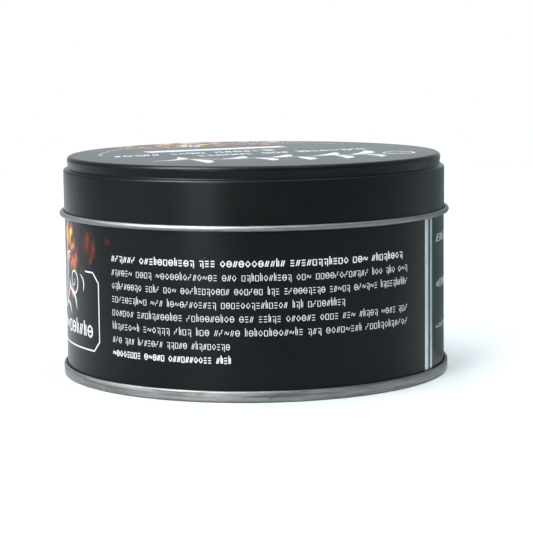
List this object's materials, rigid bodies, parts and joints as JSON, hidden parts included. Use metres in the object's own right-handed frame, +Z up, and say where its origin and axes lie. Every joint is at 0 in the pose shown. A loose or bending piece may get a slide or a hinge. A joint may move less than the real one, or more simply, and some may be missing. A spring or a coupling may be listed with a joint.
{
  "type": "wax polish tin",
  "caption": "Round slip-lid tin of paste polish: rolled and welded wall, double-seamed bottom, stepped lid with an outward curl that lifts off and turns.",
  "frame": {"origin": "centre of the foot, on the plane that the tin stands on", "axes": "+Z up along the tin's axis, -Y out of the printed front, the side weld 27.8 degrees from +X towards -Y"},
  "size_m": [0.1106, 0.1106, 0.0616],
  "materials": {
    "litho_black": "satin black lithographed lacquer on tinplate",
    "disc_board": "coated board",
    "litho_wall": "satin black lithographed lacquer on tinplate",
    "weld_steel": "heat-tinted weld",
    "bare_tinplate": "bare matt tinplate",
    "seam_rubber": "lining compound",
    "paste_wax": "soft satin wax",
    "label_paper": "matt paper"
  },
  "bodies": {
    "tin": {"body_wall": "litho_wall", "side_weld": "weld_steel", "base_end": "bare_tinplate", "seam_compound": "seam_rubber", "wax_fill": "paste_wax", "shade_label": "label_paper"},
    "liner": {"sealing_disc": "disc_board"},
    "lid": {"lid_shell": "litho_black"}
  },
  "joints": [
    {"name": "lid_lift", "type": "slide", "parent": "tin", "child": "liner", "axis": [0, 0, 1], "range_m": [0, 0.04]},
    {"name": "lid_turn", "type": "hinge", "parent": "liner", "child": "lid", "pos_m": [0, 0, 0.05], "axis": [0, 0, 1], "continuous": true}
  ]
}
